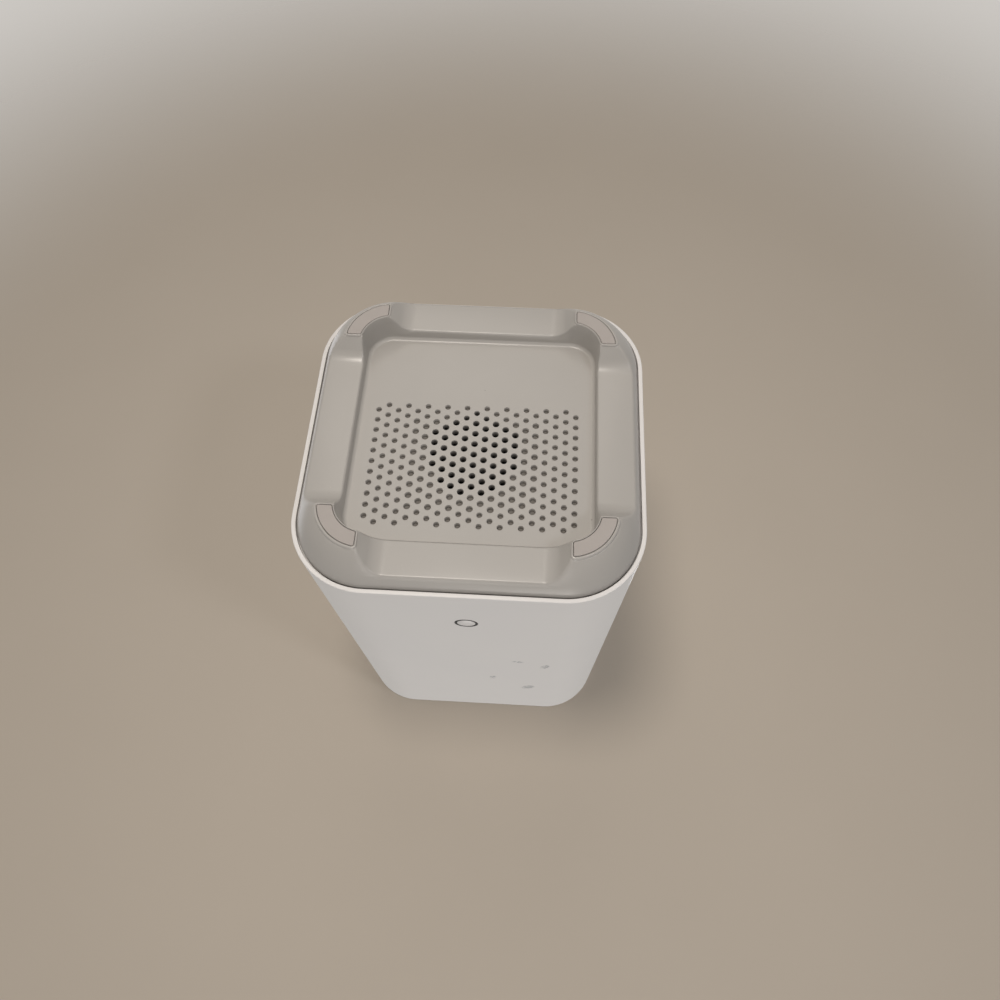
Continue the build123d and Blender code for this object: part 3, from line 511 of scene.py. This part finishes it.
# One finish for each slot of the record. Plastics have a name, two shades and a roughness, metals a lay too.
lengthwise = (1.0, 0.05, 1.0)
upright = (1.0, 1.0, 0.05)
finishes = {
    "housing_plastic": housing_white(),
    "base_plastic": base_grey(),
    "pad_rubber": pad_rubber(),
    "light_guide": smoked_light_guide(),
    "button_plastic": button_white(),
    "connector_plastic": black_plastic("connector_black", (24, 24, 26), (34, 34, 36), 0.4),
    "plunger_plastic": black_plastic("plunger_black", (44, 44, 46), (56, 56, 58), 0.45),
    "tower_plastic": black_plastic("tower_black", (38, 38, 40), (50, 50, 52), 0.5),
    "chip_resin": black_plastic("chip_black", (26, 27, 29), (40, 41, 43), 0.55),
    "surround_rubber": black_plastic("surround_black", (22, 22, 23), (34, 34, 35), 0.6),
    "basket_steel": black_plastic("basket_black", (40, 40, 42), (58, 58, 60), 0.4),
    "screw_steel": drawn_metal("screw_zinc", (150, 152, 156), (196, 198, 200), 0.3, upright),
    "magnet_steel": drawn_metal("magnet_nickel", (146, 147, 150), (182, 183, 186), 0.28, upright),
    "tinned_steel": drawn_metal("tinned_steel", (176, 177, 178), (206, 207, 208), 0.24, lengthwise),
    "sink_aluminium": drawn_metal("sink_aluminium", (170, 171, 174), (200, 201, 204), 0.35, lengthwise),
    "contact_gold": drawn_metal("contact_gold", (204, 160, 84), (236, 196, 120), 0.2, lengthwise),
    "antenna_metal": drawn_metal("antenna_bronze", (176, 132, 84), (206, 164, 112), 0.3, upright),
    "gasket_foam": foam(),
    "cone_paper": paper(),
    "coil_copper": wound_copper(),
    "board_laminate": laminate(),
    "thermal_silicone": silicone(),
    "led_resin": led_resin(),
}

# The record's slot of each CAD node, which the node's material is named after
slots = {node: part.data.materials[0].name for node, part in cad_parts.items()}
foot_pads = sorted(node for node in slots if node.startswith("foot_pad"))


def middle(node):
    low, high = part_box(node)
    return (low + high) / 2


def half_width(node):
    low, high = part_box(node)
    return (high.x - low.x) / 2


def half_height(node):
    low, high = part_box(node)
    return (high.z - low.z) / 2


def wall_outside(height):
    """Distance of the housing's outer face from its middle plane, at a height."""
    return rim_half - (height - rim_height) * housing_draft


def wall_inside(height):
    return wall_outside(height) - housing_wall


def put(name, data):
    """A new object in the scene."""
    thing = bpy.data.objects.new(name, data)
    bpy.context.scene.collection.objects.link(thing)
    return thing


def welded(node):
    """A CAD node's faces, joined at their shared corners."""
    shape = bmesh.new()
    shape.from_mesh(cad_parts[node].data)
    bmesh.ops.remove_doubles(shape, verts=shape.verts, dist=weld)
    return shape


def settle(shape, name, body, node, sharp=sharp_turn):
    """Makes a piece of the shape, which stands for a node. It rides on the body, if one is named."""
    bmesh.ops.recalc_face_normals(shape, faces=shape.faces)
    shape.verts.index_update()
    mesh = bpy.data.meshes.new(name)
    mesh.from_pydata([v.co for v in shape.verts], [], [[v.index for v in f.verts] for f in shape.faces])
    shape.free()
    mesh.shade_smooth()
    mesh.set_sharp_from_angle(angle=sharp)
    mesh.materials.append(finishes[slots[node]])
    piece = put(name, mesh)
    if body:
        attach(piece, body)
    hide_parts(node)
    return piece


def keep_flats_flat(piece):
    """Lets the large faces set the shading of the small ones beside them."""
    weighted = piece.modifiers.new("flat_faces", "WEIGHTED_NORMAL")
    weighted.keep_sharp = True
    weighted.weight = large_face_weight


def round_edges(node, body, edge):
    """A CAD node's form with its edges rounded off."""
    shape = welded(node)
    bmesh.ops.dissolve_limit(shape, angle_limit=same_plane, verts=shape.verts, edges=shape.edges)
    piece = settle(shape, node + "_moulded", body, node)
    rounding = piece.modifiers.new("rounded_edges", "BEVEL")
    rounding.width = edge
    rounding.segments = rounding_segments
    rounding.limit_method = "ANGLE"
    rounding.angle_limit = rounded_turn
    keep_flats_flat(piece)


def edge_arc(radius, steps):
    """Points of a rounded edge: how far each lies in from one face, radius to 0, and from the other."""
    angles = [quarter_turn * step / steps for step in range(steps + 1)]
    return [(radius * (1 - sin(angle)), radius * (1 - cos(angle))) for angle in angles]


def rounded_square(half, height):
    """Points of a ring round the housing, from its +X side towards +Y."""
    points = []
    for quarter in range(4):
        side_x = 1 if quarter in (0, 3) else -1
        side_y = 1 if quarter in (0, 1) else -1
        for step in range(corner_steps + 1):
            angle = quarter_turn * (quarter + step / corner_steps)
            reach = half - corner_centre
            x = side_x * corner_centre + reach * cos(angle)
            y = side_y * corner_centre + reach * sin(angle)
            points.append(Vector((x, y, height)))
    return points


def bridge(shape, ring, following, skipped=()):
    """A band of faces between two rings of as many points."""
    count = len(ring)
    for i in range(count):
        if i not in skipped:
            j = (i + 1) % count
            shape.faces.new((ring[i], ring[j], following[j], following[i]))


def bridge_all(shape, rings):
    """Bands of faces between each ring and the next."""
    for ring, following in zip(rings, rings[1:]):
        bridge(shape, ring, following)


def filled(shape, outer_edges, loops, axes):
    """Flat triangles between an outline and the loops within it, which stay open."""
    corners = list(dict.fromkeys(corner for edge in outer_edges for corner in edge))
    number = {corner: i for i, corner in enumerate(corners)}
    home = [0] * len(corners)
    edges = [(number[a], number[b]) for a, b in outer_edges]
    for loop_number, loop in enumerate(loops, 1):
        first = len(corners)
        corners += loop
        home += [loop_number] * len(loop)
        edges += [(first + i, first + (i + 1) % len(loop)) for i in range(len(loop))]
    flat = [Vector((v.co[axes[0]], v.co[axes[1]])) / mm for v in corners]
    within_outline = 1
    triangles, origins = delaunay_2d_cdt(flat, edges, [], within_outline, weld)[2:4]
    for triangle in triangles:
        numbers = [origins[i][0] for i in triangle]
        homes = {home[i] for i in numbers}
        if len(homes) > 1 or homes == {0}:
            shape.faces.new([corners[i] for i in numbers])


def mouth_outline(mouth, grow):
    """Points of an opening in a wall, grown by a length, as places across and up."""
    x, z, half_across, half_up, corner = mouth
    straight_sides = half_across - corner > weld
    points = []
    for quarter in range(4):
        side_x = 1 if quarter in (0, 3) else -1
        side_z = 1 if quarter in (0, 1) else -1
        for step in range(mouth_corner_steps + straight_sides):
            angle = quarter_turn * (quarter + step / mouth_corner_steps)
            across = x + side_x * (half_across - corner) + (corner + grow) * cos(angle)
            up = z + side_z * (half_up - corner) + (corner + grow) * sin(angle)
            points.append((across, up))
    return points


def round_mouth(node, radius):
    """A round opening in line with a node."""
    place = middle(node)
    return (place.x, place.z, radius, radius, radius)


def socket_mouth(node):
    """An opening round the body of a socket."""
    place = middle(node)
    return (place.x, place.z, half_width(node) + nose_gap, half_height(node) + nose_gap, socket_corner)


def wall_rings(shape, mouth, section, side):
    """Rings of faces round a mouth, each ring grown by a length and sunk under the wall's leaning face."""
    rings = []
    for grow, sunk in section:
        outline = mouth_outline(mouth, grow)
        rings.append([shape.verts.new((x, side * (wall_outside(z) - sunk), z)) for x, z in outline])
    bridge_all(shape, rings)
    return rings


def housing_profile():
    """Half width and height of each ring of the sleeve: down the outside, round the rim and up inside."""
    profile = []
    for aside, down in edge_arc(top_edge_radius, top_edge_steps):
        profile.append((wall_outside(top_height - top_edge_radius) - aside, top_height - down))
    for height in (rear_band_top, front_band_top, band_foot):
        profile.append((wall_outside(height), height))
    for up, aside in edge_arc(rim_outer_edge, rim_edge_steps):
        profile.append((wall_outside(rim_height) - aside, rim_height + up))
    lip_half = rim_half - lip_wall
    lip_top = rim_height + lip_depth
    for aside, up in edge_arc(rim_inner_edge, rim_edge_steps):
        profile.append((lip_half + aside, rim_height + up))
    profile.append((lip_half, lip_top))
    for height in (lip_top, band_foot, front_band_top, rear_band_top, top_height - housing_wall):
        profile.append((wall_inside(height), height))
    return profile


def in_band(height, band_top):
    return band_foot - level < height < band_top + level


def pierced_flat(shape, rings, profile, side, flat, band_top, mouths, mouth_edge):
    """Outer and inner skin of a wall's flat in its band, with its openings."""
    section = edge_arc(mouth_edge, mouth_edge_steps) + [(0.0, housing_wall)]
    openings = [wall_rings(shape, mouth, section, side) for mouth in mouths]
    for end, wall in ((0, wall_outside), (-1, wall_inside)):
        pairs = []
        for ring, (half, height) in zip(rings, profile):
            if in_band(height, band_top) and abs(half - wall(height)) < level:
                pairs.append((ring[flat], ring[flat + 1]))
        pairs.sort(key=lambda pair: pair[0].co.z)
        around = [pair[0] for pair in pairs] + [pair[1] for pair in reversed(pairs)]
        edges = list(zip(around, around[1:] + around[:1]))
        filled(shape, edges, [opening[end] for opening in openings], (0, 2))


def outer_housing():
    """The white sleeve: rounded walls that lean in, a soft top edge, a bright rim and its inner skin."""
    profile = housing_profile()
    shape = bmesh.new()
    rings = [[shape.verts.new(p) for p in rounded_square(half, height)] for half, height in profile]
    shape.faces.new(rings[0])
    shape.faces.new(rings[-1])
    heights = [height for _, height in profile]
    bands = ((rear_flat, rear_band_top), (front_flat, front_band_top))
    for ring, following, start, end in zip(rings, rings[1:], heights, heights[1:]):
        skipped = [flat for flat, top in bands if in_band(start, top) and in_band(end, top)]
        bridge(shape, ring, following, skipped)
    rear_mouths = [
        round_mouth("power_jack_pin", power_nose_radius + nose_gap),
        socket_mouth("ethernet_jack"),
        socket_mouth("usb_socket"),
        round_mouth("sync_button", half_width("sync_button") - button_flange + nose_gap),
        round_mouth("reset_switch_plunger", pinhole_radius),
    ]
    front_mouths = [round_mouth("status_ring", ring_outer_radius + ring_gap)]
    for wall in (
        (rear_side, rear_flat, rear_band_top, rear_mouths, rear_mouth_edge),
        (front_side, front_flat, front_band_top, front_mouths, front_mouth_edge),
    ):
        pierced_flat(shape, rings, profile, *wall)
    keep_flats_flat(settle(shape, "housing_shell", "root", "outer_housing"))


def status_light():
    """The smoked light guide with its flange behind the wall, and the white disc in it, both flush."""
    seat = housing_wall
    back = seat + ring_flange_thickness
    hub = round_mouth("status_ring", 0.0)
    guide = [
        (ring_inner_radius, back),
        (ring_inner_radius, ring_edge),
        (ring_inner_radius + ring_edge, 0.0),
        (ring_outer_radius - ring_edge, 0.0),
        (ring_outer_radius, ring_edge),
        (ring_outer_radius, seat),
        (ring_flange_radius, seat),
        (ring_flange_radius, back),
        (ring_inner_radius, back),
    ]
    shape = bmesh.new()
    rings = wall_rings(shape, hub, guide, front_side)
    bmesh.ops.remove_doubles(shape, verts=rings[0] + rings[-1], dist=weld)
    settle(shape, "status_ring_guide", "root", "status_ring", sharp=wide_turn)

    radius = ring_inner_radius - ring_gap
    disc = [(radius - ring_edge, 0.0), (radius, ring_edge), (radius, back)]
    shape = bmesh.new()
    rings = wall_rings(shape, hub, disc, front_side)
    shape.faces.new(rings[0])
    shape.faces.new(rings[-1])
    settle(shape, "status_ring_plug", "root", "status_ring_centre", sharp=wide_turn)


def outline_at(shape, height):
    """The points, in order, round the flat face of a piece at a height."""
    flat = {f for f in shape.faces if all(abs(v.co.z - height) < level for v in f.verts)}
    links = {}
    for edge in {e for f in flat for e in f.edges}:
        if len([f for f in edge.link_faces if f in flat]) == 1:
            for vert in edge.verts:
                links.setdefault(vert, []).append(edge.other_vert(vert))
    start = next(iter(links))
    loop = [start]
    while True:
        onward = [v for v in links[loop[-1]] if len(loop) < 2 or v is not loop[-2]]
        if onward[0] is start:
            return [Vector(v.co) for v in loop]
        loop.append(onward[0])


def pad_outline(pad):
    """Points round a foot pad, each with the way outwards and how far that faces its corner, -1 to 1."""
    shape = welded(pad)
    loop = outline_at(shape, 0.0)
    shape.free()
    area = sum(a.x * b.y - b.x * a.y for a, b in zip(loop, loop[1:] + loop[:1]))
    if area < 0:
        loop.reverse()
    centre = Vector([copysign(corner_centre, c) for c in loop[0].xy])
    points = []
    for i, point in enumerate(loop):
        before = (point - loop[i - 1]).xy.normalized()
        after = (loop[(i + 1) % len(loop)] - point).xy.normalized()
        run = (before + after).normalized()
        outward = Vector((run.y, -run.x))
        stretch = 1 / max(outward.dot(Vector((after.y, -after.x))), tightest_mitre)
        points.append((point.xy, outward * stretch, outward.dot((point.xy - centre).normalized())))
    return points


def foot_pad(node):
    """A rubber pad that fills its recess, with a softly rounded face edge."""
    points = pad_outline(node)
    profile = [(pad_fit, pad_top)]
    profile += [(pad_fit - aside, up) for up, aside in edge_arc(pad_edge, pad_edge_steps)]
    shape = bmesh.new()
    rings = []
    for grow, height in profile:
        places = [place + outward * grow for place, outward, _ in points]
        rings.append([shape.verts.new((place.x, place.y, height)) for place in places])
    bridge_all(shape, rings)
    shape.faces.new(rings[0])
    shape.faces.new(rings[-1])
    keep_flats_flat(settle(shape, node + "_rubber", "root", node, sharp=wide_turn))


def pad_bead(shape, pad):
    """The raised bead of the base round a foot pad: wide outside the pad, narrow on its inner side."""
    points = []
    for place, outward, facing in pad_outline(pad):
        wide = bead_wide if facing > 0 else bead_narrow
        points.append((place, outward, bead_end + (wide - bead_end) * abs(facing)))
    rings = []
    for share, height in bead_section:
        ring = []
        for place, outward, width in points:
            across = place + outward * (bead_start + share * (width - bead_start))
            ring.append(shape.verts.new((across.x, across.y, height)))
        rings.append(ring)
    bridge_all(shape, rings + rings[:1])


def grow_mouth_bevel(shape):
    """Makes the pocket's mouth rounder along the valleys and ramps."""
    start, end = foot_side
    for vert in shape.verts:
        x, y, z = vert.co
        if z > valley_floor + 2 * mouth_bevel or min(abs(x), abs(y)) > pocket_half:
            continue
        way = Vector((max(abs(x) - corner_centre, 0.0), max(abs(y) - corner_centre, 0.0)))
        if way.length == 0.0:
            continue
        beyond = corner_centre + way.length - pocket_half - (pocket_floor - z) * pocket_draft
        share = min(max((z - start) / (end - start), 0.0), 1.0)
        growth = mouth_growth * share * share * (3 - 2 * share)
        outward = Vector((copysign(way.x, x), copysign(way.y, y), 0.0)).normalized()
        if abs(beyond) < bevel_foot_near:
            vert.co += Vector((0.0, 0.0, growth)) - outward * growth * pocket_draft
        elif abs(beyond - mouth_bevel) < bevel_top_near:
            vert.co += outward * growth


def open_floor(shape):
    """Takes the pocket's floor and the solid's holes out of the base. Returns the edges left round it."""
    gone = []
    for face in shape.faces:
        within = all(max(abs(v.co.x), abs(v.co.y)) < pocket_reach for v in face.verts)
        lowest = min(v.co.z for v in face.verts)
        if within and pocket_floor - level < lowest < deck_top - level:
            gone.append(face)
    bmesh.ops.delete(shape, geom=gone, context="FACES")
    rim = []
    for edge in shape.edges:
        if len(edge.link_faces) == 1 and all(abs(v.co.z - pocket_floor) < level for v in edge.verts):
            rim.append(tuple(edge.verts))
    return rim


def grille_holes():
    """Place and radius of each hole, and whether it goes through. Every other column is one hole shorter."""
    holes = []
    for column in range(columns):
        across = column - (columns - 1) / 2
        count = rows if column % 2 else rows - 1
        for row in range(count):
            along = row - (count - 1) / 2
            x, y = across * pitch_x, grille_centre_y + along * pitch_y
            large = abs(across) <= large_columns and abs(along) <= large_rows
            through = Vector((x, y - speaker_centre_y)).length < open_reach
            holes.append((x, y, large_hole_radius if large else small_hole_radius, through))
    return holes


def hole_ring(shape, x, y, radius, height):
    angles = [2 * pi * step / hole_steps for step in range(hole_steps)]
    return [shape.verts.new((x + radius * cos(a), y + radius * sin(a), height)) for a in angles]


def grille_hole(shape, x, y, radius, through):
    """A round hole with a soft edge, which ends in the solid's six-sided one or blind. Returns its mouth."""
    mouth = hole_ring(shape, x, y, radius + hole_edge, pocket_floor)
    wall = hole_ring(shape, x, y, radius, pocket_floor + hole_edge_rise)
    if through:
        end = hole_ring(shape, x, y, radius, deck_top)
        bridge_all(shape, [mouth, wall, end])
        side = hole_steps // solid_hole_sides
        for start in range(0, hole_steps, side):
            shape.faces.new([end[(start + i) % hole_steps] for i in range(side + 1)])
    else:
        foot = hole_ring(shape, x, y, radius, pocket_floor + blind_depth - blind_edge)
        end = hole_ring(shape, x, y, radius - blind_edge, pocket_floor + blind_depth)
        bridge_all(shape, [mouth, wall, foot, end])
        shape.faces.new(end)
    return mouth


def base():
    """The grey moulding: its pocket's floor with round holes, and the pads' beads."""
    shape = welded("base")
    grow_mouth_bevel(shape)
    rim = open_floor(shape)
    mouths = [grille_hole(shape, *hole) for hole in grille_holes()]
    filled(shape, rim, mouths, (0, 1))
    bmesh.ops.remove_doubles(shape, verts=shape.verts, dist=weld)
    for pad in foot_pads:
        pad_bead(shape, pad)
    keep_flats_flat(settle(shape, "base_moulding", "root", "base", sharp=wide_turn))


def surround():
    """The speaker's surround, cut into sectors round its middle."""
    hub = middle("speaker_surround")
    turn = 2 * pi / surround_sectors
    for sector in range(surround_sectors):
        shape = welded("speaker_surround")
        for side in (-1, 1):
            edge = sector * turn + side * turn / 2
            away = side * Vector((-sin(edge), cos(edge), 0.0))
            cut = {"plane_co": hub, "plane_no": away, "dist": cut_near, "clear_outer": True}
            bmesh.ops.bisect_plane(shape, geom=shape.verts[:] + shape.edges[:] + shape.faces[:], **cut)
        bmesh.ops.holes_fill(shape, edges=shape.edges, sides=0)
        piece = settle(shape, f"speaker_surround_{sector + 1}", None, "speaker_surround", sharp=wide_turn)
        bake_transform(piece)


def table(name, height, reach, fade, faces_down):
    """A tabletop that the camera sees from one side only, and that fades out with distance."""
    finish = Finish(name)
    colour = finish.shades(finish.noise(size=60 * mm, detail=3.0), *table_shades)
    finish.set({"Base Color": colour, "Roughness": 0.75, "Specular IOR Level": 0.2})
    seen = finish.add("ShaderNodeLightPath", {}, {}, "Is Camera Ray")
    behind = finish.add("ShaderNodeNewGeometry", {}, {}, "Backfacing")
    distance = finish.add("ShaderNodeVectorMath", {"operation": "LENGTH"}, {0: finish.place}, "Value")
    near, far = fade
    shown = seen * (1.0 - behind) * distance.between(far, near)
    clear = finish.add("ShaderNodeBsdfTransparent", {}, {})
    solid = Signal(finish, finish.shader.outputs[0])
    mixed = finish.add("ShaderNodeMixShader", {}, {0: shown, 1: clear, 2: solid})
    finish.feed(finish.tree.nodes["Material Output"], {"Surface": mixed})
    corners = [(x * reach, y * reach, 0.0) for x, y in ((-1, -1), (1, -1), (1, 1), (-1, 1))]
    mesh = bpy.data.meshes.new(name)
    mesh.from_pydata(corners[::-1] if faces_down else corners, [], [(0, 1, 2, 3)])
    mesh.materials.append(finish.material)
    top = put(name, mesh)
    top.location.z = height


def lamp(name, place, target, width, power, colour):
    light = bpy.data.lights.new(name, "AREA")
    light.shape = "DISK"
    light.size = width
    light.energy = power
    light.color = tone(*colour)[:3]
    holder = put(name, light)
    holder.location = place
    holder.rotation_euler = (Vector(target) - Vector(place)).to_track_quat("-Z", "Y").to_euler()


def surroundings():
    """The world: an even glow on the station, and a plain backdrop for the camera, gloss and glass."""
    world = bpy.data.worlds.new("studio")
    bpy.context.scene.world = world
    world.use_nodes = True
    sky = Nodes(world.node_tree)
    kinds = ("Is Camera Ray", "Is Glossy Ray", "Is Transmission Ray")
    camera_ray, glossy_ray, clear_ray = [sky.add("ShaderNodeLightPath", {}, {}, kind) for kind in kinds]
    colour = sky.blend(camera_ray + glossy_ray + clear_ray, world_glow, tone(*backdrop_colour))
    sky.feed(sky.tree.nodes["Background"], {"Color": colour})


def photograph_view():
    camera = put("camera", bpy.data.cameras.new("camera"))
    camera.location = camera_place
    camera.rotation_euler = [radians(angle) for angle in camera_turn]
    camera.data.sensor_width = film_width
    camera.data.lens = focal_length
    camera.data.clip_start = nearest_seen
    bpy.context.scene.camera = camera
    bpy.context.scene.view_settings.view_transform = "Standard"


outer_housing()
base()
surround()
for pad in foot_pads:
    foot_pad(pad)
status_light()
for row in rounded_parts:
    round_edges(*row)
for node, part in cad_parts.items():
    part.data.materials[0] = finishes[slots[node]]
for row in tables:
    table(*row)
for row in lamps:
    lamp(*row)
surroundings()
photograph_view()
